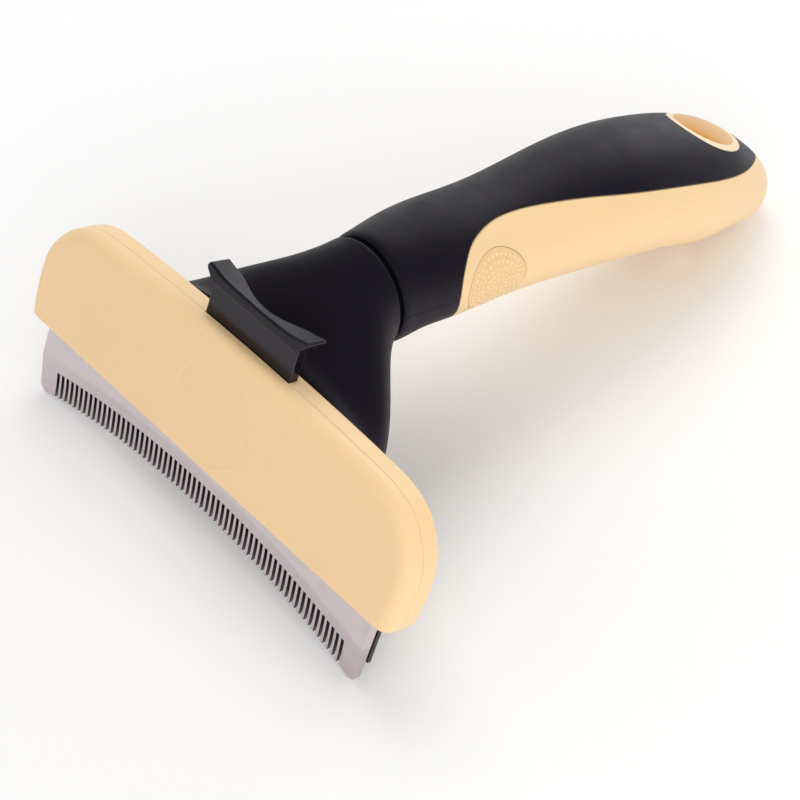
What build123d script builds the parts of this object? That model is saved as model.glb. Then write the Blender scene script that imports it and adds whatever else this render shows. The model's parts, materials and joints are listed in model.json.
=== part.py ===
from build123d import *
import math
import os

# Deshedding tool: a fine-toothed steel blade in a two-shell head, a spring
# returned ejector bar worked by a thumb button, a flared neck and an oval
# two-colour handle with a hanging eyelet.
#
# Everything is laid out in the head frame: +X along the blade, +Y from the
# front face back towards the handle, +Z away from the teeth, origin at the
# middle of the front shell's lower edge. Left is -X. At the end every piece is
# turned about X so that the tool rests on its blade ends and on the lower end
# of the handle, and moved so that the origin is the bottom centre of its box.
#
# Cutters run past the material they cut by loose, round amounts.

# ---------------------------------------------------------- shared dimensions
REST_TILT = 18.94            # degrees, head frame to resting frame

# head
HEAD_T = 8.6                 # head thickness
PART_Y = 4.2                 # parting plane of the two shells

# blade
BLADE_X = 48.3               # half length
BLADE_Y0, BLADE_Y1 = 2.20, 4.55   # front and back faces
BLADE_TOP = 9.0
TIP_R = 204.0                # radius of the hollow tip line
TIP_Z = -10.7                # tip line at the middle
ROOT_Z = -4.86               # slot ends at the middle

# ejector bar, with one windowed ear round each spring
BAR_X = 48.2                 # half length
BAR_Y0, BAR_Y1 = 4.60, 6.30
BAR_TOP = 7.6
STEM_X = 11.95               # half width of the button's stem
SPRING_X, SPRING_Y = 28.0, 5.2
EAR_X0, EAR_X1 = SPRING_X - 4.5, SPRING_X + 4.5
EAR_TOP = 22.2
WIN_HALF = 1.9
WIN_X0, WIN_X1 = SPRING_X - WIN_HALF, SPRING_X + WIN_HALF
WIN_Z0, WIN_Z1 = 9.95, 20.5
SEAT_Z0, SEAT_Z1 = 10.0, 11.5
BAY_Y = BAR_Y1 + 0.15        # floor of the ejector bay in the rear shell

# screw places (x, z) across the head
HEAD_SCREWS = [(-44.5, 16.5), (44.5, 16.5), (-18.0, 20.3), (18.0, 20.3)]
NECK_SCREWS = [(-20.0, 7.2), (20.0, 7.2), (-9.0, 22.0), (9.0, 22.0)]
BLADE_SCREWS = [(-36.0, 4.2), (0.0, 4.2), (36.0, 4.2)]

# neck joint; distances along its axis are counted backwards from the joint
JOINT_Y, JOINT_Z, JOINT_PITCH = 31.8, 32.7, 13.3
SPIGOT_R, SPIGOT_BORE_R = 7.0, 5.0
SPIGOT_START, SPIGOT_END = -6.5, 16.0
SPIGOT_FIT_R = SPIGOT_R + 0.03
GROOVE = 0.65                # half width of the groove at the joint
NECK_PIN, HANDLE_PIN = -3.9, 9.0  # pin places along the joint axis
PIN_R, PIN_HALF = 1.2, 8.6

# handle
WALL = 2.4                   # outer shells
CORE_SKIN = WALL + 0.05      # core's depth below the handle's surface
CORE_WALL = 2.0

COS_PITCH = math.cos(math.radians(JOINT_PITCH))
SIN_PITCH = math.sin(math.radians(JOINT_PITCH))
ON_BASE = (Align.CENTER, Align.CENTER, Align.MIN)


# -------------------------------------------------------------------- helpers
def box(x0, x1, y0, y1, z0, z1):
    centre = Pos((x0 + x1) / 2, (y0 + y1) / 2, (z0 + z1) / 2)
    return centre * Box(x1 - x0, y1 - y0, z1 - z0)


def side_box(side, x0, x1, *y_and_z):
    """Box between distances x0 and x1 from the middle, on side -1 or 1."""
    return box(*sorted((side * x0, side * x1)), *y_and_z)


def plane_y(x, y, z):
    return Plane(origin=(x, y, z), x_dir=(1, 0, 0), z_dir=(0, 1, 0))


def cyl_y(x, z, r, y0, y1):
    return plane_y(x, y0, z) * Cylinder(r, y1 - y0, align=ON_BASE)


def cone_y(x, z, r0, r1, y0, y1):
    return plane_y(x, y0, z) * Cone(r0, r1, y1 - y0, align=ON_BASE)


def cyl_z(x, y, r, z0, z1):
    return Pos(x, y, z0) * Cylinder(r, z1 - z0, align=ON_BASE)


def cross(length, width, depth):
    """Cutter for a screw's cross recess."""
    return Box(length, width, depth) + Box(width, length, depth)


def joint_point(s):
    return JOINT_Y + s * COS_PITCH, JOINT_Z + s * SIN_PITCH


def joint_cyl(r, s0, s1):
    """Cylinder on the joint's axis from s0 to s1 behind the joint."""
    plane = Plane(origin=(0, *joint_point(s0)), x_dir=(1, 0, 0),
                  z_dir=(0, COS_PITCH, SIN_PITCH))
    return plane * Cylinder(r, s1 - s0, align=ON_BASE)


def joint_row(s, r):
    """Round loft station across the joint's axis."""
    return (*joint_point(s), r, r, JOINT_PITCH, 2.0)


def cross_pin(s, r, half):
    """Cylinder along X through the joint's axis."""
    plane = Plane(origin=(-half, *joint_point(s)), x_dir=(0, 1, 0), z_dir=(1, 0, 0))
    return plane * Cylinder(r, 2 * half, align=ON_BASE)


def pin_hole(s):
    return cross_pin(s, PIN_R + 0.03, PIN_HALF + 0.1)


def ring_wire(y, z_mid, half_w, half_h, pitch, exponent, count=28):
    """Closed superellipse section across +Y, leant back by pitch degrees."""
    cos_p, sin_p = math.cos(math.radians(pitch)), math.sin(math.radians(pitch))
    points = []
    for i in range(count):
        angle = 2 * math.pi * i / count
        c, s = math.cos(angle), math.sin(angle)
        across = half_w * math.copysign(abs(c) ** (2 / exponent), c)
        up = half_h * math.copysign(abs(s) ** (2 / exponent), s)
        points.append(Vector(across, y - up * sin_p, z_mid + up * cos_p))
    return Wire([Edge.make_spline(points, periodic=True)])


def loft_rings(rows):
    return Solid.make_loft([ring_wire(*row) for row in rows])


def line_chain(points):
    return [Edge.make_line(a, b) for a, b in zip(points, points[1:])]


def soft_fillet(shape, edges, radii):
    """Fillet with the first radius that gives a sound solid, or none at all."""
    for r in radii:
        # guards against a radius that the kernel cannot fillet
        try:
            out = shape.fillet(r, edges)
            if out.is_valid and out.volume > 0:
                return out
        except Exception:
            pass
    return shape


def single(shape):
    """The shape as one solid without specks, and a stop if it fell apart."""
    solids = [s for s in shape.solids() if s.volume > 0.05]
    if len(solids) != 1:
        raise ValueError("expected one solid, got %d" % len(solids))
    return solids[0]


# ---------------------------------------------------------------- head shells
# right side of the outline (x, z), upwards from the lower edge
HEAD_PTS = [(52.9, 0.0), (53.5, 3.6), (53.7, 7.5), (53.65, 10.5), (53.4, 13.0),
            (52.9, 15.1), (52.1, 16.9), (51.2, 18.4), (50.15, 19.8),
            (48.9, 21.2), (47.4, 22.4), (45.6, 23.4), (42.6, 24.4), (38.5, 25.0)]
HEAD_CROWN_Z = 26.1
# fillet radii, in order of preference
FRONT_RADII = [2.8, 2.4, 2.0, 1.5]
REAR_RADII = [1.2, 1.3, 1.0]
LOWER_RADII = [0.8, 0.6, 0.4]
PART_RADII = [0.22, 0.15]
DISC_Z, DISC_R, DISC_DEPTH = 11.73, 10.39, 0.13   # shallow round recess
SEAT_GAP = 0.15              # end gap of the blade in its seat
SEAT_DEPTH_GAP = 0.05
WIN_GAP = 0.02
HEAD_HOLE_R = 1.03
NECK_HOLE_R = 1.05


def head_outline(y):
    right = [Vector(x, y, z) for x, z in HEAD_PTS]
    left = [Vector(-x, y, z) for x, z in HEAD_PTS]
    return Face(Wire([
        Edge.make_spline(right),
        Edge.make_three_point_arc(right[-1], Vector(0, y, HEAD_CROWN_Z), left[-1]),
        Edge.make_spline(list(reversed(left))),
        Edge.make_line(left[0], right[0])]))


def edges_at(shape, y, tol, z_test):
    """Edges lying in the plane y whose highest z passes the test."""
    out = []
    for edge in shape.edges():
        bb = edge.bounding_box()
        if abs(bb.min.Y - y) < tol and abs(bb.max.Y - y) < tol and z_test(bb.max.Z):
            out.append(edge)
    return out


def head_block(y0, y1, outer_y, outer_radii):
    """Rounded slab of the head; outer_y is its face away from the joint line."""
    block = extrude(head_outline(y0), amount=y1 - y0, dir=(0, 1, 0))
    block = soft_fillet(block, edges_at(block, outer_y, 1e-3, lambda z: z > 1.0),
                        outer_radii)
    block = soft_fillet(block, edges_at(block, outer_y, 0.01, lambda z: z < 0.01),
                        LOWER_RADII)
    return soft_fillet(block, edges_at(block, PART_Y, 1e-3, lambda z: z > 1.0),
                       PART_RADII)


def blade_seat(y0, y1):
    x = BLADE_X + SEAT_GAP
    return box(-x, x, y0, y1, -5, BLADE_TOP + 0.08)


def window_pocket(side, y0, y1):
    return side_box(side, WIN_X0 - WIN_GAP, WIN_X1 + WIN_GAP, y0, y1,
                    SEAT_Z0 - WIN_GAP, WIN_Z1 + 0.1)


def make_front_shell():
    shell = head_block(0, PART_Y, 0, FRONT_RADII)
    shell -= blade_seat(BLADE_Y0 - SEAT_DEPTH_GAP, PART_Y + 1)
    # round recess with a sloping rim
    shell -= cone_y(0, DISC_Z, DISC_R + 0.40, DISC_R - 0.20, -DISC_DEPTH, DISC_DEPTH)
    for side in (-1, 1):
        shell -= window_pocket(side, SPRING_Y - 1.75, PART_Y + 1)
    for x, z in HEAD_SCREWS:
        shell -= cyl_y(x, z, HEAD_HOLE_R, 1.25, 10)
    for x, z in BLADE_SCREWS:
        shell -= cyl_y(x, z, 1.13, 0.9, 4)
    return single(shell)


def make_rear_shell():
    shell = head_block(PART_Y, HEAD_T, HEAD_T, REAR_RADII)
    bay_x = BAR_X + 0.65
    inside = PART_Y - 1
    shell -= box(-bay_x, bay_x, inside, BAY_Y, -5, BAR_TOP + 0.4)
    shell -= blade_seat(inside, BLADE_Y1 + SEAT_DEPTH_GAP)
    for side in (-1, 1):
        shell -= side_box(side, EAR_X0 - 0.1, EAR_X1 + 0.1, inside, BAY_Y,
                          0, EAR_TOP + 0.2)
        shell -= window_pocket(side, inside, SPRING_Y + 1.75)
    # slot for the button's stem
    shell -= box(-STEM_X - 0.1, STEM_X + 0.1, inside, BAY_Y, 0, 40)
    for x, z in HEAD_SCREWS:
        shell -= cyl_y(x, z, HEAD_HOLE_R, 0, 10)
        shell -= cone_y(x, z, HEAD_HOLE_R, 2.0, HEAD_T - 1.0, HEAD_T + 0.02)
    # neck screws are countersunk in the bay floor, from inside
    for x, z in NECK_SCREWS:
        shell -= cyl_y(x, z, NECK_HOLE_R, 0, 10)
        shell -= cyl_y(x, z, 2.15, inside, BAY_Y)
        shell -= cone_y(x, z, 2.05, NECK_HOLE_R, BAY_Y - 0.01, BAY_Y + 1.0)
    return single(shell)


def make_head_screw(x, z, shank_r=1.0, head_r=1.92):
    top = HEAD_T - 0.06
    screw = cyl_y(x, z, shank_r, 1.35, HEAD_T - 0.9)
    screw += cone_y(x, z, shank_r, head_r, HEAD_T - 0.98, top)
    screw -= plane_y(x, top, z) * (Pos(0, 0, -0.3) * cross(2.2, 0.45, 0.8))
    return single(screw)


def make_neck_screw(x, z, shank_r=1.02, head_r=1.95):
    shank = cyl_y(x, z, shank_r, BAY_Y + 0.9, 13.0)
    return single(shank + cone_y(x, z, head_r, shank_r, BAY_Y + 0.06, BAY_Y + 0.98))


# ---------------------------------------------------------------------- blade
BEVEL_Z = -2.2               # where the bevel starts at the middle
TIP_T = 0.85                 # steel left at the tips
PITCH, SLOT_W, SLOTS = 1.44, 0.80, 61
BLADE_HOLE_R = 1.15


def bevel_section(axis_z):
    """Half-plane section (x = 0) of the hollow-ground bevel's cutter."""
    start_z = axis_z + TIP_R + (BEVEL_Z - TIP_Z)
    tip_y, tip_z = BLADE_Y1 - TIP_T, axis_z + TIP_R
    start = Vector(0, BLADE_Y0, start_z)
    middle = Vector(0, (BLADE_Y0 + tip_y) / 2 + 0.18, (start_z + tip_z) / 2 + 0.06)
    tip = Vector(0, tip_y, tip_z)
    around = [tip, Vector(0, tip_y, tip_z - 6), Vector(0, 0, tip_z - 6),
              Vector(0, 0, start_z), start]
    return Face(Wire([Edge.make_three_point_arc(start, middle, tip)]
                     + line_chain(around)))


def make_blade():
    axis_z = TIP_Z - TIP_R
    thickness = BLADE_Y1 - BLADE_Y0
    bottom = TIP_Z - BLADE_X ** 2 / (2 * TIP_R) - 1
    blade = box(-BLADE_X, BLADE_X, BLADE_Y0, BLADE_Y1, bottom, BLADE_TOP)
    blade -= cyl_y(0, axis_z, TIP_R, -2, 10)
    lower = [e for e in blade.edges()
             if abs(e.length - thickness) < 1e-3 and e.center().Z < -12]
    blade = soft_fillet(blade, lower, [1.8, 1.2])
    upper = [e for e in blade.edges()
             if abs(e.length - thickness) < 1e-3 and e.center().Z > 8]
    blade = soft_fillet(blade, upper, [1.0])
    # the bevel is turned about the tip line's own axis, 40 degrees each way
    section = bevel_section(axis_z)
    for turn_y in (1, -1):
        blade -= Solid.revolve(section, 40, Axis((0, 0, axis_z), (0, turn_y, 0)))
    # slot ends follow the tip line
    slots = []
    for k in range(SLOTS):
        x = (k - (SLOTS - 1) / 2) * PITCH
        root = ROOT_Z - x * x / (2 * (TIP_R + ROOT_Z - TIP_Z))
        slots.append(box(x - SLOT_W / 2, x + SLOT_W / 2, 0, 8, -22, root))
    blade = blade - slots
    for x, z in BLADE_SCREWS:
        blade -= cyl_y(x, z, BLADE_HOLE_R, 0, 8)
        blade -= cone_y(x, z, BLADE_HOLE_R, 2.3, BLADE_Y1 - 1.15, BLADE_Y1 + 0.001)
    return single(blade)


def make_blade_screw(x, z, shank_r=1.1, head_r=2.2):
    shank = cyl_y(x, z, shank_r, 1.0, BLADE_Y1 - 1.1)
    return single(shank + cone_y(x, z, shank_r, head_r, BLADE_Y1 - 1.18, BLADE_Y1 - 0.08))


# -------------------------------------------------------------------- ejector
BAR_DROP = 1.2               # how far the bar's edge hangs below the slot ends
BAR_EDGE_R = TIP_R - 2
TONGUE_X = 10.5              # half width of the lapped, riveted tongues
RIVET_XS, RIVET_Z = (-6.0, 6.0), 11.5
RIVET_R, RIVET_HOLE_R = 0.9, 0.93
PAD_Z = 32.7                 # underside of the thumb pad at the stem
PAD_Y0, PAD_Y1 = 3.3, 8.7
SPRING_R, WIRE_D, TURNS = 1.44, 0.34, 6.0
POST_R, POST_Z = 0.85, 14.0

# right side of the thumb pad (x, z): top line at front and back, then the end
PAD_FRONT = [(13.6, 36.0), (12.3, 35.85), (10.8, 35.45), (8.6, 35.1), (4.2, 35.02)]
PAD_BACK = [(13.6, 35.7), (12.3, 35.35), (10.8, 35.05), (8.6, 34.75), (4.2, 33.75)]
PAD_FRONT_MID, PAD_BACK_MID = 35.0, 33.0
PAD_END = [(13.95, 35.3), (13.6, 34.6), (12.6, 33.7), (STEM_X, PAD_Z)]
# hollow back edge of the pad seen from above (x, y), right half to the middle
PAD_HOLLOW = [(15.5, 8.5), (12.0, 8.45), (9.5, 8.25), (5.5, 7.1), (3.0, 6.55), (0, 6.4)]


def make_ejector_bar():
    bar = box(-BAR_X, BAR_X, BAR_Y0, BAR_Y1, TIP_Z - 8, BAR_TOP)
    bar -= cyl_y(0, ROOT_Z - BAR_DROP - BAR_EDGE_R, BAR_EDGE_R, 0, 10)
    # the front half of each end is stepped back
    for side in (-1, 1):
        bar -= side_box(side, BAR_X - 0.9, BAR_X + 1, BAR_Y0 - 0.1, BAR_Y0 + 0.8,
                        -25, -0.6)
    for side in (-1, 1):
        bar += side_box(side, EAR_X0, EAR_X1, BAR_Y0, BAR_Y1, BAR_TOP - 1, EAR_TOP)
        bar -= side_box(side, WIN_X0, WIN_X1, 0, 10, WIN_Z0, WIN_Z1)
    bar += box(-TONGUE_X, TONGUE_X, 5.40, BAR_Y1, BAR_TOP - 1, 15.5)
    for x in RIVET_XS:
        bar -= cyl_y(x, RIVET_Z, RIVET_HOLE_R, 0, 10)
    return single(bar)


def pad_wire(y, tops, mid_z):
    right = [Vector(x, y, z) for x, z in tops]
    left = [Vector(-x, y, z) for x, z in reversed(tops)]
    end = [tops[0]] + PAD_END
    low = ([Vector(-x, y, z) for x, z in end]
           + [Vector(x, y, z) for x, z in reversed(end)])
    top = Edge.make_spline(right + [Vector(0, y, mid_z)] + left)
    return Wire([top] + line_chain(low))


def make_thumb_pad():
    pad = Solid.make_loft([pad_wire(PAD_Y0, PAD_FRONT, PAD_FRONT_MID),
                           pad_wire(PAD_Y1, PAD_BACK, PAD_BACK_MID)], ruled=True)
    hollow = PAD_HOLLOW + [(-x, y) for x, y in reversed(PAD_HOLLOW[:-1])]
    points = [Vector(x, y, 30) for x, y in hollow]
    x_end = hollow[0][0]
    around = [points[-1], Vector(-x_end, 12, 30), Vector(x_end, 12, 30), points[0]]
    notch = Face(Wire([Edge.make_spline(points)] + line_chain(around)))
    pad = single(pad - extrude(notch, amount=8, dir=(0, 0, 1)))
    long_edges = [e for e in pad.edges() if e.center().Z > 33.2 and e.length > 15]
    pad = soft_fillet(pad, long_edges, [0.45, 0.35, 0.25])
    end_edges = [e for e in pad.edges() if e.center().Z > 35.5
                 and abs(e.center().X) > 13.0 and 3 < e.length < 6]
    return soft_fillet(pad, end_edges, [0.3, 0.2])


def make_thumb_button():
    button = make_thumb_pad() + box(-STEM_X, STEM_X, 4.30, BAR_Y1, 16.0, PAD_Z + 0.2)
    button += box(-TONGUE_X, TONGUE_X, 4.65, 5.35, 8.0, 16.5)
    for x in RIVET_XS:
        button -= cyl_y(x, RIVET_Z, RIVET_HOLE_R, 0, 10)
    return single(button)


def make_rivet(x):
    return single(cyl_y(x, RIVET_Z, RIVET_R, 4.67, BAR_Y1 - 0.02))


def make_spring_seat(side):
    x = side * SPRING_X
    half = WIN_HALF - 0.05
    seat = box(x - half, x + half, SPRING_Y - 1.7, SPRING_Y + 1.7, SEAT_Z0, SEAT_Z1)
    seat += cyl_z(x, SPRING_Y, POST_R, SEAT_Z1 - 0.1, POST_Z)
    return single(seat)


def make_spring(side):
    end_gap = 0.02
    bottom = SEAT_Z1 + WIRE_D / 2 + end_gap
    height = WIN_Z1 - WIRE_D / 2 - end_gap - bottom
    helix = Edge.make_helix(pitch=height / TURNS, height=height, radius=SPRING_R,
                            center=(side * SPRING_X, SPRING_Y, bottom),
                            normal=(0, 0, 1))
    section = Plane(origin=helix @ 0, z_dir=helix % 0) * Circle(WIRE_D / 2)
    return single(sweep(section, path=helix, is_frenet=True))


# ------------------------------------------------------------- neck and joint
NECK_WALL = 2.5
NECK_START = 8.0             # the hollow starts in front of the neck
# y, z centre, half width, half height, pitch, exponent
NECK = [
    (8.62, 14.54, 33.85, 12.01, 0.0, 2.62),
    (14.2, 14.98, 30.51, 11.65, 9.0, 2.23),
    (20.2, 20.28, 24.86, 11.47, 19.0, 2.08),
    (26.4, 27.65, 15.55, 11.73, 20.0, 2.02),
]


def make_neck():
    outer = loft_rings(NECK + [joint_row(-0.5, 11.05)])
    rear_edge = max(outer.edges(), key=lambda e: e.center().Y)
    outer = soft_fillet(outer, [rear_edge], [0.5, 0.4])
    inner_rows = [(y, z, half_w - NECK_WALL, half_h - NECK_WALL, pitch, exponent)
                  for y, z, half_w, half_h, pitch, exponent in NECK]
    inner_rows[0] = (NECK_START,) + inner_rows[0][1:]
    neck = outer - loft_rings(inner_rows)
    # spigot socket, then the screw bosses
    neck += joint_cyl(9.4, SPIGOT_START - 0.6, -1.4) & outer
    for x, z in NECK_SCREWS:
        neck += cyl_y(x, z, 2.7, 8.64, 14.2) & outer
    for x, z in NECK_SCREWS:
        neck -= cyl_y(x, z, NECK_HOLE_R, 8, 13.2)
    neck -= joint_cyl(SPIGOT_FIT_R, SPIGOT_START, 5)
    return single(neck - pin_hole(NECK_PIN))


def make_spigot():
    spigot = joint_cyl(SPIGOT_R, SPIGOT_START + 0.05, SPIGOT_END) - joint_cyl(
        SPIGOT_BORE_R, SPIGOT_START - 1, SPIGOT_END + 1)
    for s in (NECK_PIN, HANDLE_PIN):
        spigot -= pin_hole(s)
    return single(spigot)


def make_joint_ring():
    return single(joint_cyl(10.0, -0.45, GROOVE - 0.05) - joint_cyl(SPIGOT_FIT_R, -2, 2))


# -------------------------------------------------------------- handle surface
# front end: distance behind the joint, radius
HANDLE_FRONT = [(GROOVE, 10.75), (1.15, 11.1), (2.2, 11.3)]
# y, z centre, half width, half height, pitch
HANDLE_BODY = [
    (38.2, 34.69, 11.91, 10.90, 9.4), (46.4, 36.53, 12.91, 10.86, 3.9),
    (55.8, 37.92, 12.94, 10.89, 0), (66.4, 39.48, 13.15, 11.07, 0),
    (77.0, 41.24, 13.96, 11.74, 0), (87.6, 42.81, 14.93, 12.56, 0),
    (99.4, 43.87, 15.57, 13.10, 0), (109.9, 43.91, 15.67, 13.18, 0),
    (120.5, 43.20, 15.58, 13.11, 0), (128.8, 42.72, 14.34, 12.06, 0),
    (137.0, 41.13, 12.31, 10.36, 0),
]
# closing rear end, same columns
HANDLE_TAIL = [
    (142.1, 40.01, 10.60, 8.92, 0), (145.4, 39.50, 9.03, 7.59, 0),
    (148.06, 39.30, 6.99, 5.88, 0), (149.61, 39.29, 4.94, 4.16, 0),
    (150.39, 39.33, 3.17, 2.67, 0), (150.8, 39.35, 1.28, 1.07, 0),
]
HANDLE_END = 150.85


def handle_solid(inset):
    """The handle's whole form taken in by inset; the tail is scaled down."""
    rows = [joint_row(s, r - inset) for s, r in HANDLE_FRONT]
    for y, z, half_w, half_h, pitch in HANDLE_BODY:
        rows.append((y, z, half_w - inset, half_h - inset, pitch, 2.0))
    tail_y, _, tail_w, tail_h, _ = HANDLE_BODY[-1]
    scale_y = (HANDLE_END - inset - tail_y) / (HANDLE_END - tail_y)
    scale_w = (tail_w - inset) / tail_w
    scale_h = (tail_h - inset) / tail_h
    for y, z, half_w, half_h, pitch in HANDLE_TAIL:
        rows.append((tail_y + (y - tail_y) * scale_y, z,
                     half_w * scale_w, half_h * scale_h, pitch, 2.0))
    return loft_rings(rows)


handle_form = handle_solid(0.0)

# -------------------------------------------------------------------- eyelet
EYE_Y, EYE_Z, EYE_TILT = 125.4, 55.2, 5.0
EYE_RX, EYE_RY = 7.95, 10.0  # outer half axes
EYE_BORE_R = 6.2
EYE_LOW, EYE_HIGH = -40.0, 12.0   # reach of the column along its axis
MOUTH_RX, MOUTH_RY, MOUTH_DEPTH = 6.75, 8.7, 5.0
FOOT_LOW, FOOT_R, FOOT_H = -26.2, 9.2, 4.2    # flare at the lower end
eye_plane = Plane(origin=(0, EYE_Y, EYE_Z), x_dir=(1, 0, 0),
                  z_dir=(0, math.sin(math.radians(EYE_TILT)),
                         math.cos(math.radians(EYE_TILT))))


def eye_column(gap):
    column = extrude(Ellipse(EYE_RX + gap, EYE_RY + gap), amount=EYE_HIGH - EYE_LOW)
    return eye_plane * (Pos(0, 0, EYE_LOW) * column)


eye_hole = eye_column(0.04)


def make_eyelet():
    # mouth stations: height along the eyelet's axis, half axes
    stations = [(-MOUTH_DEPTH, EYE_BORE_R, EYE_BORE_R),
                (-MOUTH_DEPTH * 0.45, EYE_BORE_R + 0.1, EYE_BORE_R + 0.75),
                (0.6, MOUTH_RX, MOUTH_RY),
                (3.0, MOUTH_RX + 0.6, MOUTH_RY + 1.0)]
    mouth = Solid.make_loft([(eye_plane.offset(height) * Ellipse(rx, ry)).wire()
                             for height, rx, ry in stations])
    bore = eye_plane.offset(EYE_LOW) * Cylinder(
        EYE_BORE_R, EYE_HIGH - EYE_LOW, align=ON_BASE)
    eyelet = (eye_column(0) & handle_form) - bore - mouth
    eyelet -= eye_plane.offset(FOOT_LOW) * Cone(
        FOOT_R, EYE_BORE_R - 0.01, FOOT_H, align=ON_BASE)
    return single(eyelet)


# -------------------------------------------------------------- handle shells
SEAM_GAP = 0.20              # open joint line between grip and lower shell
SLEEVE_GAP = 0.12
# seam between the black grip and the cream shell, seen from the side (y, z)
SEAM = [(49.8, 22.0), (48.2, 26.5), (46.8, 30.0), (45.4, 33.4), (44.4, 37.0),
        (44.5, 40.2), (45.75, 42.9), (48.0, 45.0), (50.6, 46.2), (54.0, 47.2),
        (58.9, 48.15), (64.8, 49.0), (71.0, 49.8), (79.5, 50.75), (89.2, 51.3),
        (98.0, 51.5), (107.0, 51.3), (116.0, 50.85), (125.4, 50.3),
        (132.5, 49.7), (139.6, 48.5), (145.5, 46.9), (154.0, 44.0)]
# on the left the grip reaches lower over the finger pad
SEAM_LEFT = SEAM[:4] + [
    (44.2, 36.6), (44.9, 39.5), (47.0, 41.9), (50.2, 43.25), (54.0, 44.0),
    (58.9, 44.6), (64.8, 45.25), (71.0, 46.1), (79.5, 47.8), (86.5, 49.3),
    (92.5, 50.5), (98.5, 51.25), (107.0, 51.3)] + SEAM[17:]
# parting line of the black front sleeve (y, z)
SLEEVE = [(25.0, 31.6), (33.2, 33.5), (38.5, 34.7), (43.6, 35.9), (52.0, 37.9)]

PAD_RY, PAD_RZ = 7.8, 6.7    # finger pad's half axes
PAD_CENTRE_Y = 54.2
# side and height of each finger pad; the left one sits under its lower seam
FINGER_PADS = {"left": (-1, 36.35), "right": (1, 37.9)}

# handle screws: y, height of the handle's underside
HANDLE_SCREWS = [(72.0, 28.75), (104.0, 30.75)]
SCREW_RECESS = 0.45          # screw head's depth below the underside


def shifted(points, shift):
    """Points moved square to their line, to its upper side."""
    out = []
    for i, (y, z) in enumerate(points):
        y0, z0 = points[max(i - 1, 0)]
        y1, z1 = points[min(i + 1, len(points) - 1)]
        length = math.hypot(y1 - y0, z1 - z0)
        out.append((y - (z1 - z0) / length * shift, z + (y1 - y0) / length * shift))
    return out


def space_under(points, shift, x0, x1, floor):
    """Solid under a shifted side-view line, from x0 to x1, down to floor."""
    line = shifted(points, shift)
    curve = [Vector(x0, y, z) for y, z in line]
    around = [curve[-1], Vector(x0, points[-1][0], floor),
              Vector(x0, line[0][0], floor), curve[0]]
    face = Face(Wire([Edge.make_spline(curve)] + line_chain(around)))
    return extrude(face, amount=x1 - x0, dir=(1, 0, 0))


def seam_blocks(shift):
    """The space under the seam, as its right half and its left half."""
    return (space_under(SEAM, shift, 0.0, 30.0, 10.0),
            space_under(SEAM_LEFT, shift, -30.0, 0.0, 10.0))


def sleeve_block(shift):
    return space_under(SLEEVE, shift, -30, 30, 5.0)


def make_outer_shell():
    shell = handle_form - handle_solid(WALL)
    shell -= eye_hole
    return shell - joint_cyl(8.4, -3, 3)      # room in front for the core's nose


def make_grips(shell):
    """Upper grip and lower front sleeve, the black pieces."""
    right, left = seam_blocks(SEAM_GAP / 2)
    black = shell - right - left
    return (single(black - sleeve_block(SLEEVE_GAP / 2)),
            single(black & sleeve_block(-SLEEVE_GAP / 2)))


def finger_pad_column(side, z, gap):
    plane = Plane(origin=(side * 5, PAD_CENTRE_Y, z), x_dir=(0, 1, 0),
                  z_dir=(side, 0, 0))
    return plane * extrude(Ellipse(PAD_RY - gap, PAD_RZ - gap), amount=20)


def make_lower_shell(shell):
    right, left = seam_blocks(-SEAM_GAP / 2)
    cream = (shell & right) + (shell & left)
    pocket_floor = handle_solid(0.9)
    for side, z in FINGER_PADS.values():
        cream -= finger_pad_column(side, z, 0) - pocket_floor
    for y, under_z in HANDLE_SCREWS:
        cream -= cyl_z(0, y, 1.45, under_z - 3, under_z + 5)
        cream -= cyl_z(0, y, 2.7, under_z - 3, under_z + SCREW_RECESS + 1.25)
    return single(cream)


def make_finger_pads():
    inside = handle_solid(0.86)
    return {name: single((finger_pad_column(side, z, 0.09) & handle_form) - inside)
            for name, (side, z) in FINGER_PADS.items()}


def make_core():
    form = handle_solid(CORE_SKIN)
    core = form - handle_solid(CORE_SKIN + CORE_WALL)
    # spigot socket and the nose in front of it
    core += joint_cyl(9.2, GROOVE, SPIGOT_END + 1.5) & form
    core += joint_cyl(8.35, GROOVE, 4)
    core -= joint_cyl(SPIGOT_FIT_R, -2, SPIGOT_END + 0.05)
    for y, under_z in HANDLE_SCREWS:
        core += cyl_z(0, y, 3.1, under_z + CORE_SKIN + 0.6, under_z + 11.5) & form
    for y, under_z in HANDLE_SCREWS:
        core -= cyl_z(0, y, 1.3, under_z - 2, under_z + 10.5)
    core -= eye_hole
    return single(core - pin_hole(HANDLE_PIN))


def make_handle_screw(y, under_z):
    head_z = under_z + SCREW_RECESS
    screw = cyl_z(0, y, 2.6, head_z, head_z + 1.2)
    screw += cyl_z(0, y, 1.27, head_z + 1.1, under_z + 10.2)
    screw -= Pos(0, y, head_z + 0.3) * cross(3.0, 0.6, 0.7)
    return single(screw)


# ------------------------------------------------------------------- assembly
outer_shell = make_outer_shell()
grip_upper, grip_front_lower = make_grips(outer_shell)
finger_pads = make_finger_pads()

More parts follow.
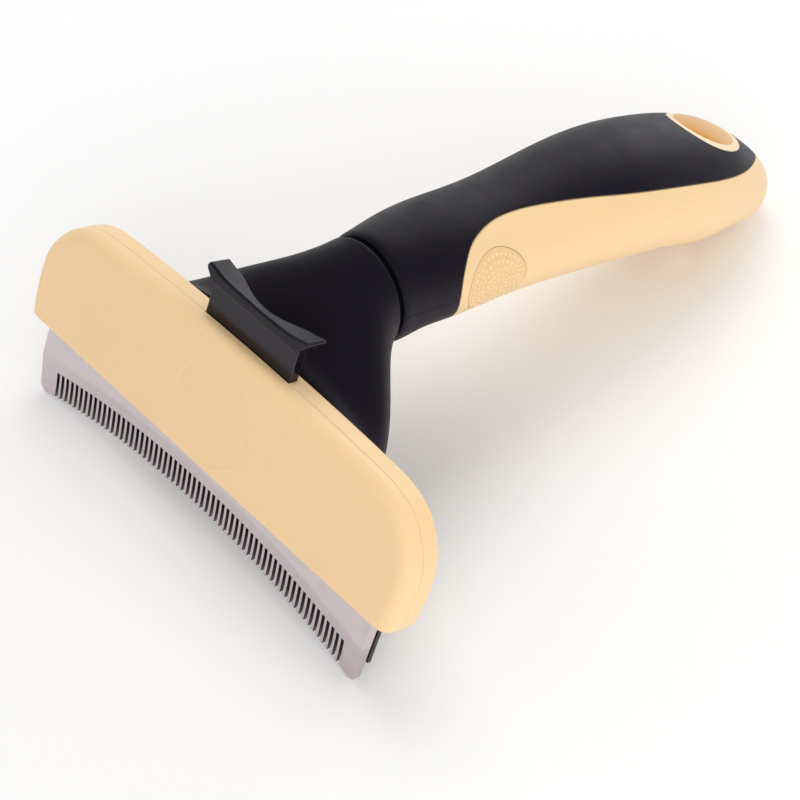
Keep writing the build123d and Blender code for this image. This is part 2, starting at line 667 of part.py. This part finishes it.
NODES = {
    "head_front_shell": make_front_shell(),
    "head_rear_shell": make_rear_shell(),
    "head_screws": [make_head_screw(x, z) for x, z in HEAD_SCREWS],
    "comb_blade": make_blade(),
    "blade_screws": [make_blade_screw(x, z) for x, z in BLADE_SCREWS],
    "ejector_bar": make_ejector_bar(),
    "thumb_button": make_thumb_button(),
    "ejector_rivets": [make_rivet(x) for x in RIVET_XS],
    "spring_seats": [make_spring_seat(side) for side in (-1, 1)],
    "return_spring_left": make_spring(-1),
    "return_spring_right": make_spring(1),
    "neck_housing": make_neck(),
    "neck_screws": [make_neck_screw(x, z) for x, z in NECK_SCREWS],
    "joint_ring": make_joint_ring(),
    "joint_spigot": make_spigot(),
    "spigot_pins": [single(cross_pin(s, PIN_R, PIN_HALF)) for s in (NECK_PIN, HANDLE_PIN)],
    "handle_core": make_core(),
    "grip_upper": grip_upper,
    "grip_front_lower": grip_front_lower,
    "handle_lower_shell": make_lower_shell(outer_shell),
    "handle_screws": [make_handle_screw(y, z) for y, z in HANDLE_SCREWS],
    "hang_eyelet": make_eyelet(),
    "finger_pad_left": finger_pads["left"],
    "finger_pad_right": finger_pads["right"],
}
# the pieces that set the tool's overall box
OUTERMOST = ("head_front_shell", "comb_blade", "thumb_button", "grip_upper",
             "handle_lower_shell", "hang_eyelet")

# ------------------------------------------------- resting frame and export
turn = Rot(-REST_TILT, 0, 0)
turned = {}
for name, shape in NODES.items():
    if isinstance(shape, list):
        turned[name] = Compound(children=[turn * s for s in shape])
    else:
        turned[name] = turn * shape

points = [p for name in OUTERMOST for p in turned[name].tessellate(0.01, 0.1)[0]]
ys = [p.Y for p in points]
zs = [p.Z for p in points]
move = Pos(0, -(min(ys) + max(ys)) / 2, -min(zs))

os.makedirs("parts", exist_ok=True)
for name, shape in turned.items():
    export_step(move * shape, "parts/%s.step" % name)
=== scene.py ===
# Hand tool with a toothed blade, an ejector driven by a thumb button, and finger pads.
# The CAD pieces get procedural materials, and the script adds the raised dots on the
# finger pads, the coils of the two return springs, a white stage and a camera.
#
# Head frame (mm): +X along the blade, +Y back to the handle, +Z away from the teeth.
# Row frame (m): the head frame tilted about X, so that the tool rests on the floor z = 0.
import json
import math

import bmesh
import bpy
import numpy as np
from mathutils import Matrix, Vector
from mathutils.bvhtree import BVHTree


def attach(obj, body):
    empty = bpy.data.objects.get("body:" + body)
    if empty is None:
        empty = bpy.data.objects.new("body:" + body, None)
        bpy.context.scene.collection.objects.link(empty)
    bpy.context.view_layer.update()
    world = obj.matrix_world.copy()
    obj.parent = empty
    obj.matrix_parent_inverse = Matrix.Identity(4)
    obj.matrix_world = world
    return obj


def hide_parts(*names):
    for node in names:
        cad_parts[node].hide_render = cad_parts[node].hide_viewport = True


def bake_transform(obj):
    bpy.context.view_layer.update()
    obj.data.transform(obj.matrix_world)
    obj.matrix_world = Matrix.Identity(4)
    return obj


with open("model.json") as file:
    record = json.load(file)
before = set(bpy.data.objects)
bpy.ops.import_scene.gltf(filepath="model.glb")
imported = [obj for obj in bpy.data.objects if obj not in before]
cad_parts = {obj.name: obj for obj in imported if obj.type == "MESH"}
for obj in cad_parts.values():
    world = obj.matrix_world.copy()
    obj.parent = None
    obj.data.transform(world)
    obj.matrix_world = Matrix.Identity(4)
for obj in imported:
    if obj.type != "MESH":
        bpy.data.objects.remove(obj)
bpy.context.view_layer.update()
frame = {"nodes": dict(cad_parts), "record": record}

# -------------------------------------------------------------------- frames
TILT = math.radians(18.94)
COS_TILT, SIN_TILT = math.cos(TILT), math.sin(TILT)
SHIFT_Y, SHIFT_Z = -77.0870, 17.0113    # mm, applied after the tilt
MM = 1000.0                             # millimetres in a metre


def row_points(points):
    """Head-frame points (mm) as an array of row-frame points (m)."""
    x, y, z = np.asarray(points, float).T
    return np.c_[x, y * COS_TILT + z * SIN_TILT + SHIFT_Y,
                 -y * SIN_TILT + z * COS_TILT + SHIFT_Z] / MM


def row_point(point):
    return row_points([point])[0]


def row_direction(direction):
    x, y, z = direction
    return Vector((x, y * COS_TILT + z * SIN_TILT, -y * SIN_TILT + z * COS_TILT))


# -------------------------------------------------------------- node helpers
def feed(tree, socket, value):
    """Link a socket, or set a plain value; colours are given without alpha."""
    if isinstance(value, bpy.types.NodeSocket):
        tree.links.new(value, socket)
    elif socket.type == "RGBA":
        socket.default_value = (*value, 1)
    else:
        socket.default_value = value


def add_node(tree, kind, inputs=None, **settings):
    node = tree.nodes.new("ShaderNode" + kind)
    for name, value in settings.items():
        setattr(node, name, value)
    for key, value in (inputs or {}).items():
        feed(tree, node.inputs[key], value)
    return node


def new_material(name):
    material = bpy.data.materials.new(name)
    material.use_nodes = True
    tree = material.node_tree
    tree.nodes.clear()
    output = add_node(tree, "OutputMaterial")
    shader = add_node(tree, "BsdfPrincipled")
    tree.links.new(shader.outputs["BSDF"], output.inputs["Surface"])
    return material, tree, shader


def noise(tree, position, scale, detail=3.0, roughness=0.5):
    node = add_node(tree, "TexNoise", {"Scale": scale, "Detail": detail,
                                       "Roughness": roughness, "Vector": position})
    return node.outputs["Fac"]


def remap(tree, value, span, to=(0.0, 1.0), curve="LINEAR"):
    """Map the range span onto the range to, clamped at both ends."""
    node = add_node(tree, "MapRange", {"From Min": span[0], "From Max": span[1],
                                       "To Min": to[0], "To Max": to[1], "Value": value},
                    interpolation_type=curve)
    return node.outputs["Result"]


def calc(tree, operation, *values):
    return add_node(tree, "Math", dict(enumerate(values)), operation=operation).outputs[0]


def dot_product(tree, a, b):
    node = add_node(tree, "VectorMath", {0: a, 1: b}, operation="DOT_PRODUCT")
    return node.outputs["Value"]


def mix_colour(tree, factor, a, b):
    node = add_node(tree, "Mix", {"A": a, "B": b, "Factor": factor}, data_type="RGBA")
    return node.outputs["Result"]


def scaled(colour, factor):
    return tuple(c * factor for c in colour)


def rounded_edges(tree, radius_mm):
    return add_node(tree, "Bevel", {"Radius": radius_mm / MM}, samples=4).outputs["Normal"]


def bump(tree, height, normal, depth_mm, strength=1.0):
    node = add_node(tree, "Bump", {"Strength": strength, "Distance": depth_mm / MM,
                                   "Height": height, "Normal": normal})
    return node.outputs["Normal"]


def head_distance(tree, position, direction, origin=(0.0, 0.0, 0.0)):
    """Distance in metres along a head-frame direction from a head-frame point."""
    axis = row_direction(direction)
    along = dot_product(tree, position, tuple(axis))
    return calc(tree, "SUBTRACT", along, float(axis.dot(Vector(row_point(origin)))))


# ------------------------------------------------------------------ plastics
BUSH_TOP = (0, 125.4, 55.2)             # mm, head frame
BUSH_LEAN = math.radians(5)             # of the bore, from +Z towards +Y
BUSH_RIM_FALL = 0.06                    # fall of the rim per length along +Y
BUSH_GLOW_BLEND = (-0.0022, -0.0052)         # m below the rim where the painted glow colour fades in
# painted glow: warm colour of light bounced deep inside the bore
BUSH_GLOW_COLOUR = (1.0, 0.62, 0.10)

BUTTON_ROUGHNESS = 0.28                 # mean that the gloss noise swings about
BUTTON_BLEND = (0.0326, 0.0334)         # m, head-frame z where stem turns into pad
STEM_TO_PAD_ROUGHNESS = (0.20, 0.48)


def bush_painted_glow(tree, position, base):
    """Painted glow: the bush's bore is painted warmer with depth, standing in for light
    bounced inside the cream plastic; its rim stays pale.
    """
    bore = (0, math.sin(BUSH_LEAN), math.cos(BUSH_LEAN))
    height = head_distance(tree, position, bore, BUSH_TOP)
    # the rim follows the handle's back, which falls away from the middle
    along = head_distance(tree, position, (0, 1, 0), BUSH_TOP)
    height = calc(tree, "ADD", height, calc(tree, "MULTIPLY", along, BUSH_RIM_FALL))
    depth = remap(tree, height, span=BUSH_GLOW_BLEND, curve="SMOOTHSTEP")
    return mix_colour(tree, depth, base, BUSH_GLOW_COLOUR)


def button_gloss(tree, position, roughness):
    """The thumb pad is grained; the stem under it is polished."""
    axes = add_node(tree, "SeparateXYZ", {0: position})
    # head-frame z = (y - shift y) sin + (z - shift z) cos
    from_y = calc(tree, "MULTIPLY", axes.outputs["Y"], SIN_TILT)
    from_z = calc(tree, "MULTIPLY", axes.outputs["Z"], COS_TILT)
    height = calc(tree, "ADD", from_y, from_z)
    shift = (SHIFT_Y * SIN_TILT + SHIFT_Z * COS_TILT) / MM
    height = calc(tree, "SUBTRACT", height, shift)
    level = remap(tree, height, span=BUTTON_BLEND, to=STEM_TO_PAD_ROUGHNESS)
    jitter = calc(tree, "SUBTRACT", roughness, BUTTON_ROUGHNESS)
    return calc(tree, "ADD", level, jitter)


def plastic(name, colour, roughness, grain_mm, grain_depth, vary, subsurface=0.0,
            specular=0.5, roughness_swing=0.06, edge_mm=0.25, edge_highlight=0.0, edge_highlight_colour=None,
            gloss_rule=None, colour_rule=None, tint=None):
    """Moulded plastic: spark-eroded grain, slow colour drift, uneven gloss,
    rounded edges that may carry a painted highlight."""
    material, tree, shader = new_material(name)
    position = add_node(tree, "TexCoord").outputs["Object"]

    # slow drift between a darker and a lighter shade
    drift = noise(tree, position, scale=22.0, detail=4.0, roughness=0.55)
    light = tuple(min(1.0, c * (1 + vary)) for c in colour)
    base = mix_colour(tree, remap(tree, drift, span=(0.3, 0.7)),
                      scaled(colour, 1 - vary), light)
    # tiny paler flecks in the moulding
    flecks = noise(tree, position, scale=2600.0, detail=2.0, roughness=0.7)
    fleck_colour = tuple(min(1.0, c * 1.10 + 0.004) for c in colour)
    base = mix_colour(tree, remap(tree, flecks, span=(0.62, 0.72), to=(0.0, 0.35)),
                      base, fleck_colour)

    normal = rounded_edges(tree, edge_mm)
    # painted highlight: the rounded edges are painted lighter, standing in for the light
    # they catch
    if edge_highlight:
        # an edge is where the rounded normal leaves the plain one
        geometry = add_node(tree, "NewGeometry")
        match = dot_product(tree, normal, geometry.outputs["Normal"])
        painted_highlight = remap(tree, match, span=(0.985, 0.90), to=(0.0, edge_highlight))
        base = mix_colour(tree, painted_highlight, base, edge_highlight_colour)
    if colour_rule:
        base = colour_rule(tree, position, base)
    feed(tree, shader.inputs["Base Color"], base)
    if tint:
        feed(tree, shader.inputs["Specular Tint"], tint)

    patches = noise(tree, position, scale=160.0, roughness=0.6)
    gloss = remap(tree, patches, span=(0.3, 0.7),
                  to=(roughness - roughness_swing, roughness + roughness_swing))
    if gloss_rule:
        gloss = gloss_rule(tree, position, gloss)
    feed(tree, shader.inputs["Roughness"], gloss)

    grain = noise(tree, position, scale=MM / grain_mm, detail=2.0, roughness=0.6)
    waves = noise(tree, position, scale=45.0, detail=1.0, roughness=0.4)
    normal = bump(tree, waves, normal, depth_mm=0.03, strength=0.6)
    normal = bump(tree, grain, normal, depth_mm=grain_depth)
    feed(tree, shader.inputs["Normal"], normal)
    shader.inputs["Specular IOR Level"].default_value = specular
    if subsurface:
        shader.inputs["Subsurface Weight"].default_value = subsurface
        shader.inputs["Subsurface Radius"].default_value = (1.0, 0.45, 0.2)
        shader.inputs["Subsurface Scale"].default_value = 0.0015
    return material


PLASTICS = {
    "cream_plastic": dict(
        colour=(0.90, 0.635, 0.345), roughness=0.42, grain_mm=0.22, grain_depth=0.004,
        vary=0.015, subsurface=0.10, edge_mm=0.12, edge_highlight=0.35, edge_highlight_colour=(0.95, 0.80, 0.62)),
    "cream_trim": dict(
        colour=(0.93, 0.69, 0.43), roughness=0.36, grain_mm=0.25, grain_depth=0.003,
        vary=0.015, subsurface=0.12, edge_mm=0.7, edge_highlight=0.6, edge_highlight_colour=(0.97, 0.88, 0.78),
        colour_rule=bush_painted_glow),
    "cream_pad": dict(
        colour=(0.86, 0.575, 0.285), roughness=0.44, grain_mm=0.18, grain_depth=0.004,
        vary=0.02, subsurface=0.10, edge_mm=0.15),
    # painted highlight: the dots are painted paler than the pad, standing in for the light
    # on their tops
    "cream_dots_painted_highlight": dict(
        colour=(0.95, 0.72, 0.44), roughness=0.40, grain_mm=0.12, grain_depth=0.002,
        vary=0.02, subsurface=0.10, edge_mm=0.05),
    "black_soft": dict(
        colour=(0.0068, 0.0056, 0.0102), roughness=0.52, grain_mm=0.16, grain_depth=0.008,
        vary=0.15, specular=0.30, roughness_swing=0.05, edge_mm=0.3,
        tint=(0.93, 0.86, 1.0), edge_highlight=0.5, edge_highlight_colour=(0.035, 0.033, 0.040)),
    "black_plastic": dict(
        colour=(0.0066, 0.0056, 0.0088), roughness=BUTTON_ROUGHNESS, grain_mm=0.3,
        grain_depth=0.003, vary=0.1, roughness_swing=0.04, edge_mm=0.35,
        gloss_rule=button_gloss, specular=0.40, tint=(0.96, 0.90, 1.0), edge_highlight=0.7,
        edge_highlight_colour=(0.10, 0.09, 0.115)),
    "black_core": dict(
        colour=(0.012, 0.012, 0.013), roughness=0.5, grain_mm=0.3, grain_depth=0.006,
        vary=0.1),
    "seal_rubber": dict(
        colour=(0.004, 0.004, 0.005), roughness=0.8, grain_mm=0.2, grain_depth=0.008,
        vary=0.1, specular=0.10),
}

# -------------------------------------------------------------------- steels
# The blade's tips lie on an arc about an axis along Y (mm, head frame).
TIP_ARC_Z = -214.7
TIP_ARC_RADIUS = 204.0
BEVEL_BLEND = (0.0090, 0.0080)          # m above the tips where the ground bevel's painted shade fades in
BEVEL_PAINTED_SHADE = 0.86                      # painted shade: bevel colour against the flat's, for the darker floor the bevel reflects
WALL_FACING = (0.75, 0.85)              # |normal x| where a face starts to count as a wall
TEETH_HALF_WIDTH = (0.0470, 0.0465)     # m, |x| where the row of slots fades in
WALL_HEIGHT = (0.0, 0.005)              # m above the tips spanned by the stops below
# place in the wall height, brightness of the painted shade
WALL_SHADE_STOPS = ((0.0, 0.20), (0.12, 0.16), (0.24, 0.12), (0.4, 0.07), (0.6, 0.04),
              (0.8, 0.02))
WALL_TOP_SHADE = (0.02, 0.019, 0.02, 1)


def blade_painted_shade(tree, position, base, colour):
    """Painted shade: slot walls are painted dark, darkest towards their tops, and the
    ground bevel is painted darker than the flat, for the darker floor it reflects.
    """
    x = head_distance(tree, position, (1, 0, 0))
    z = head_distance(tree, position, (0, 0, 1), (0, 0, TIP_ARC_Z))
    x_squared = calc(tree, "MULTIPLY", x, x)
    z_squared = calc(tree, "MULTIPLY", z, z)
    radius = calc(tree, "SQRT", calc(tree, "ADD", x_squared, z_squared))
    height = calc(tree, "SUBTRACT", radius, TIP_ARC_RADIUS / MM)
    bevel_shade = remap(tree, height, span=BEVEL_BLEND)
    base = mix_colour(tree, bevel_shade, base, scaled(colour, BEVEL_PAINTED_SHADE))

    # painted shade: walls between the teeth are painted dark, darkest towards the tops of
    # the slots
    geometry = add_node(tree, "NewGeometry")
    facing = add_node(tree, "SeparateXYZ", {0: geometry.outputs["True Normal"]})
    side = remap(tree, calc(tree, "ABSOLUTE", facing.outputs["X"]), span=WALL_FACING)
    inside = remap(tree, calc(tree, "ABSOLUTE", x), span=TEETH_HALF_WIDTH)
    wall_shade = calc(tree, "MULTIPLY", side, inside)

    shades = add_node(tree, "ValToRGB")
    feed(tree, shades.inputs["Fac"], remap(tree, height, span=WALL_HEIGHT))
    stops = shades.color_ramp.elements
    for place, value in WALL_SHADE_STOPS:
        stop = stops.new(place)
        stop.color = (value, value * 0.94, value * 0.97, 1)
    stops.remove(stops[0])              # a new ramp already has a stop at each end
    stops[len(stops) - 1].color = WALL_TOP_SHADE
    return mix_colour(tree, wall_shade, base, shades.outputs["Color"])


def steel(name, colour, roughness, blasted=False):
    """Pitted steel, either blasted, with the blade's painted shade, or brushed along X."""
    material, tree, shader = new_material(name)
    position = add_node(tree, "TexCoord").outputs["Object"]
    shader.inputs["Metallic"].default_value = 1.0

    drift = noise(tree, position, scale=60.0)
    base = mix_colour(tree, drift, scaled(colour, 0.95), scaled(colour, 1.05))
    pits = noise(tree, position, scale=1500.0, roughness=0.7)
    base = mix_colour(tree, remap(tree, pits, span=(0.66, 0.74), to=(0.0, 0.35)),
                      base, scaled(colour, 0.6))
    if blasted:
        # painted shade in the blade's slots and on its bevel
        base = blade_painted_shade(tree, position, base, colour)
    feed(tree, shader.inputs["Base Color"], base)

    patches = noise(tree, position, scale=900.0, roughness=0.6)
    feed(tree, shader.inputs["Roughness"],
         remap(tree, patches, span=(0.3, 0.7), to=(roughness - 0.06, roughness + 0.06)))

    normal = rounded_edges(tree, radius_mm=0.12)
    if blasted:
        grain = noise(tree, position, scale=6000.0, detail=2.0, roughness=0.6)
        normal = bump(tree, grain, normal, depth_mm=0.006)
    else:
        stretched = add_node(tree, "Mapping",
                             {"Scale": (120.0, 9000.0, 9000.0), "Vector": position})
        grain = noise(tree, stretched.outputs["Vector"], scale=1.0, detail=2.0)
        normal = bump(tree, grain, normal, depth_mm=0.004)
    feed(tree, shader.inputs["Normal"], normal)
    return material


STEELS = {
    "blade_steel": dict(colour=(0.745, 0.665, 0.685), roughness=0.45, blasted=True),
    "screw_steel": dict(colour=(0.52, 0.52, 0.54), roughness=0.32),
    "spring_steel": dict(colour=(0.56, 0.56, 0.58), roughness=0.25),
}

materials = {name: plastic(name, **look) for name, look in PLASTICS.items()}
materials.update({name: steel(name, **look) for name, look in STEELS.items()})

slot_of = {part["node"]: part["material_slot"] for part in frame["record"]["subparts"]}
for node_name, piece in frame["nodes"].items():
    piece.data.materials.clear()
    piece.data.materials.append(materials[slot_of[node_name]])


# -------------------------------------------------------------- mesh helpers
def head_mesh(name, points, faces):
    """Mesh from head-frame points (mm)."""
    mesh = bpy.data.meshes.new(name)
    mesh.from_pydata(row_points([tuple(p) for p in points]).tolist(), [], faces)
    mesh.validate()
    return mesh


def shade_smooth(mesh):
    mesh.polygons.foreach_set("use_smooth", [True] * len(mesh.polygons))


def face_outward(mesh):
    bm = bmesh.new()
    bm.from_mesh(mesh)
    bmesh.ops.recalc_face_normals(bm, faces=bm.faces)
    bm.to_mesh(mesh)
    bm.free()


def link_object(name, data):
    obj = bpy.data.objects.new(name, data)
    bpy.context.scene.collection.objects.link(obj)
    return obj


def band(start, next_start, count):
    """Quads between two rings of vertices."""
    return [(start + i, start + (i + 1) % count,
             next_start + (i + 1) % count, next_start + i) for i in range(count)]


# ------------------------------------------------- raised dots, finger pads
PAD_Y = 54.2                            # centre of both pads, mm
PAD_RADIUS_Y, PAD_RADIUS_Z = 7.8, 6.7
DOT_PITCH = 1.2                         # between loops, and along each loop
FIRST_INSET = 1.05                      # outermost loop, in from the pad's edge
LEAST_LOOP_RADIUS = 0.3
RAY_START_X = 40                        # outside the pads
DOT_RADIUS, DOT_HEIGHT, DOT_SKIRT = 0.33, 0.22, 0.15
DOT_SEGMENTS, DOT_RINGS = 12, 4


def pad_surface(side):
    """Search tree of a finger pad's CAD mesh in the head frame, mm."""
    mesh = frame["nodes"]["finger_pad_" + side].data
    coords = np.empty(len(mesh.vertices) * 3)
    mesh.vertices.foreach_get("co", coords)
    x, y, z = (coords.reshape(-1, 3) * MM).T
    y = y - SHIFT_Y
    z = z - SHIFT_Z
    points = np.c_[x, y * COS_TILT - z * SIN_TILT, y * SIN_TILT + z * COS_TILT]
    return BVHTree.FromPolygons([Vector(p) for p in points],
                                [tuple(face.vertices) for face in mesh.polygons])


def dome(centre, normal):
    """Closed low dome with a skirt that sinks into the surface."""
    up = normal.normalized()
    across = up.orthogonal().normalized()
    other = up.cross(across)

    def circle(radius, height):
        angles = [2 * math.pi * i / DOT_SEGMENTS for i in range(DOT_SEGMENTS)]
        return [centre + across * (radius * math.cos(a)) + other * (radius * math.sin(a))
                + up * height for a in angles]

    points = []
    for k in range(DOT_RINGS):
        rise = (math.pi / 2) * k / DOT_RINGS
        points += circle(DOT_RADIUS * math.cos(rise), DOT_HEIGHT * math.sin(rise))
    top = len(points)
    points.append(centre + up * DOT_HEIGHT)
    skirt = len(points)
    points += circle(DOT_RADIUS, -DOT_SKIRT)

    faces = []
    for k in range(DOT_RINGS - 1):
        faces += band(k * DOT_SEGMENTS, (k + 1) * DOT_SEGMENTS, DOT_SEGMENTS)
    last = (DOT_RINGS - 1) * DOT_SEGMENTS
    for i in range(DOT_SEGMENTS):
        j = (i + 1) % DOT_SEGMENTS
        faces.append((last + i, last + j, top))
        faces.append((skirt + i, skirt + j, j, i))
    faces.append(tuple(skirt + i for i in reversed(range(DOT_SEGMENTS))))
    return points, faces


def finger_dots(side, sign, pad_z):
    """Dots in concentric elliptical loops, each set on the pad's surface."""
    surface = pad_surface(side)
    points, faces = [], []
    turn = np.linspace(0, 2 * math.pi, 721)
    inset = FIRST_INSET
    while PAD_RADIUS_Z - inset > LEAST_LOOP_RADIUS:
        loop_y = (PAD_RADIUS_Y - inset) * np.cos(turn)
        loop_z = (PAD_RADIUS_Z - inset) * np.sin(turn)
        # dots are evenly spaced by length along the loop
        length = np.r_[0, np.cumsum(np.hypot(np.diff(loop_y), np.diff(loop_z)))]
        count = int(round(length[-1] / DOT_PITCH))
        for k in range(count):
            along = length[-1] * k / count
            y = PAD_Y + float(np.interp(along, length, loop_y))
            z = pad_z + float(np.interp(along, length, loop_z))
            place, normal, _, _ = surface.ray_cast(Vector((sign * RAY_START_X, y, z)),
                                                   Vector((-sign, 0, 0)))
            if place is None:
                continue
            if normal.x * sign < 0:
                normal = -normal
            dot_points, dot_faces = dome(place, normal)
            first = len(points)
            points += dot_points
            faces += [tuple(first + i for i in face) for face in dot_faces]
        inset += DOT_PITCH
    name = "finger_dots_" + side
    mesh = head_mesh(name, points, faces)
    shade_smooth(mesh)
    dots = link_object(name, mesh)
    mesh.materials.append(materials["cream_dots_painted_highlight"])
    face_outward(mesh)
    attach(dots, "frame")


finger_dots("right", 1, pad_z=37.9)
finger_dots("left", -1, pad_z=36.35)

# ------------------------------------------------------------ return springs
SPRING_X, SPRING_Y = 28.0, 5.2          # axis, mm; x is mirrored
SPRING_FOOT_Z, SPRING_HEAD_Z = 11.69, 20.31
SPRING_TURNS = 6.0
FLAT_TURNS = 0.75                       # lying flat at each end, as closed ends do
STEPS_PER_TURN = 28
COIL_RADIUS = 1.44
WIRE_RADIUS = 0.17
WIRE_SEGMENTS = 10


def spring_coil(side, sign):
    """Spring between the seat and the top of the bar's window. In the tool its foot
    stays with the frame and its head goes down with the ejector; here it is one fixed coil."""
    axis_x = sign * SPRING_X
    steps = int(SPRING_TURNS * STEPS_PER_TURN)
    flat = FLAT_TURNS / SPRING_TURNS
    up = Vector((0, 0, 1))
    points, faces = [], []
    for k in range(steps + 1):
        angle = 2 * math.pi * SPRING_TURNS * k / steps
        rise = min(1.0, max(0.0, (k / steps - flat) / (1 - 2 * flat)))
        centre = Vector((axis_x + COIL_RADIUS * math.cos(angle),
                         SPRING_Y + COIL_RADIUS * math.sin(angle),
                         SPRING_FOOT_Z + (SPRING_HEAD_Z - SPRING_FOOT_Z) * rise))
        outward = Vector((math.cos(angle), math.sin(angle), 0))
        for i in range(WIRE_SEGMENTS):
            turn = 2 * math.pi * i / WIRE_SEGMENTS
            points.append(centre + outward * (WIRE_RADIUS * math.cos(turn))
                          + up * (WIRE_RADIUS * math.sin(turn)))
    for k in range(steps):
        faces += band(k * WIRE_SEGMENTS, (k + 1) * WIRE_SEGMENTS, WIRE_SEGMENTS)
    faces.append(tuple(reversed(range(WIRE_SEGMENTS))))
    faces.append(tuple(steps * WIRE_SEGMENTS + i for i in range(WIRE_SEGMENTS)))

    name = "spring_coil_" + side
    mesh = head_mesh(name, points, faces)
    face_outward(mesh)
    shade_smooth(mesh)
    spring = link_object(name, mesh)
    mesh.materials.append(materials["spring_steel"])
    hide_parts("return_spring_" + side)
    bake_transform(spring)


spring_coil("right", 1)
spring_coil("left", -1)

# --------------------------------------------------------------------- stage
FLOOR_HALF = 4                          # m


def build_floor():
    mesh = bpy.data.meshes.new("floor")
    corners = [(x * FLOOR_HALF, y * FLOOR_HALF, 0)
               for x, y in ((-1, -1), (1, -1), (1, 1), (-1, 1))]
    mesh.from_pydata(corners, [], [(0, 1, 2, 3)])
    floor = link_object("floor", mesh)
    material, tree, shader = new_material("floor")
    feed(tree, shader.inputs["Base Color"], (0.97, 0.97, 0.97))
    shader.inputs["Roughness"].default_value = 0.8
    shader.inputs["Specular IOR Level"].default_value = 0.2
    mesh.materials.append(material)


build_floor()

# --------------------------------------------------------------------- world
DIFFUSE_STRENGTH = 0.62                 # the camera itself sees full white
GLOW_DIRECTION = (-0.60, 0.80, -0.12)   # head frame, brightest side in reflections


def build_world():
    """White studio; glossy rays see it fade from bright to dark across the sky."""
    world = bpy.data.worlds.new("studio")
    bpy.context.scene.world = world
    world.use_nodes = True
    tree = world.node_tree
    background = tree.nodes["Background"]
    feed(tree, background.inputs["Color"], (1, 1, 1))
    rays = add_node(tree, "LightPath").outputs
    view = add_node(tree, "TexCoord").outputs["Generated"]
    towards = dot_product(tree, view, tuple(row_direction(GLOW_DIRECTION).normalized()))
    glow = remap(tree, towards, span=(0.10, 0.98), to=(0.13, 1.10), curve="SMOOTHSTEP")
    glossy = calc(tree, "MULTIPLY", glow, rays["Is Glossy Ray"])
    not_glossy = calc(tree, "SUBTRACT", 1.0, rays["Is Glossy Ray"])
    diffuse = calc(tree, "MULTIPLY", not_glossy, DIFFUSE_STRENGTH)
    lit = calc(tree, "ADD", glossy, diffuse)
    camera_extra = calc(tree, "MULTIPLY", rays["Is Camera Ray"], 1.0 - DIFFUSE_STRENGTH)
    feed(tree, background.inputs["Strength"], calc(tree, "ADD", lit, camera_extra))


build_world()

# -------------------------------------------------------------------- lights
# name, place (m), target (m), side of the square (m), power (W), seen in reflections
LIGHTS = (
    ("key", (-0.35, 0.15, 0.75), (0, 0, 0.02), 0.5, 2.0, False),
    ("fill", (0.5, -0.6, 0.35), (0, 0, 0.02), 0.6, 1.85, False),
    ("side", (0.8, 0.15, 0.30), (0, 0.02, 0.02), 0.6, 1.7, False),
    ("rim", (-0.3, 0.8, 0.3), (0, 0, 0.03), 0.5, 1.2, True),
)

for name, place, target, size, power, glossy in LIGHTS:
    light = bpy.data.lights.new(name, "AREA")
    light.energy = power
    light.shape = "RECTANGLE"
    light.size = size
    light.size_y = size
    lamp = link_object(name, light)
    lamp.location = place
    aim = Vector(target) - Vector(place)
    lamp.rotation_euler = aim.to_track_quat("-Z", "Y").to_euler()
    lamp.visible_glossy = glossy

# -------------------------------------------------------------------- camera
CAMERA_PLACE = (237.5, -276.5, 250.2)   # mm, head frame
CAMERA_RIGHT = (0.6632, 0.6912, 0.2871)
CAMERA_UP = (-0.5595, 0.2031, 0.8036)   # squared up to the right axis below


def build_camera():
    data = bpy.data.cameras.new("camera")
    camera = link_object("camera", data)
    data.sensor_width = 36.0
    data.lens = 106.416
    data.clip_start = 0.01
    right = row_direction(CAMERA_RIGHT).normalized()
    up = row_direction(CAMERA_UP)
    up = (up - up.dot(right) * right).normalized()
    turn = Matrix((right, up, right.cross(up))).transposed().to_4x4()
    camera.matrix_world = Matrix.Translation(Vector(row_point(CAMERA_PLACE))) @ turn
    bpy.context.scene.camera = camera


build_camera()
bpy.context.scene.view_settings.view_transform = "Standard"
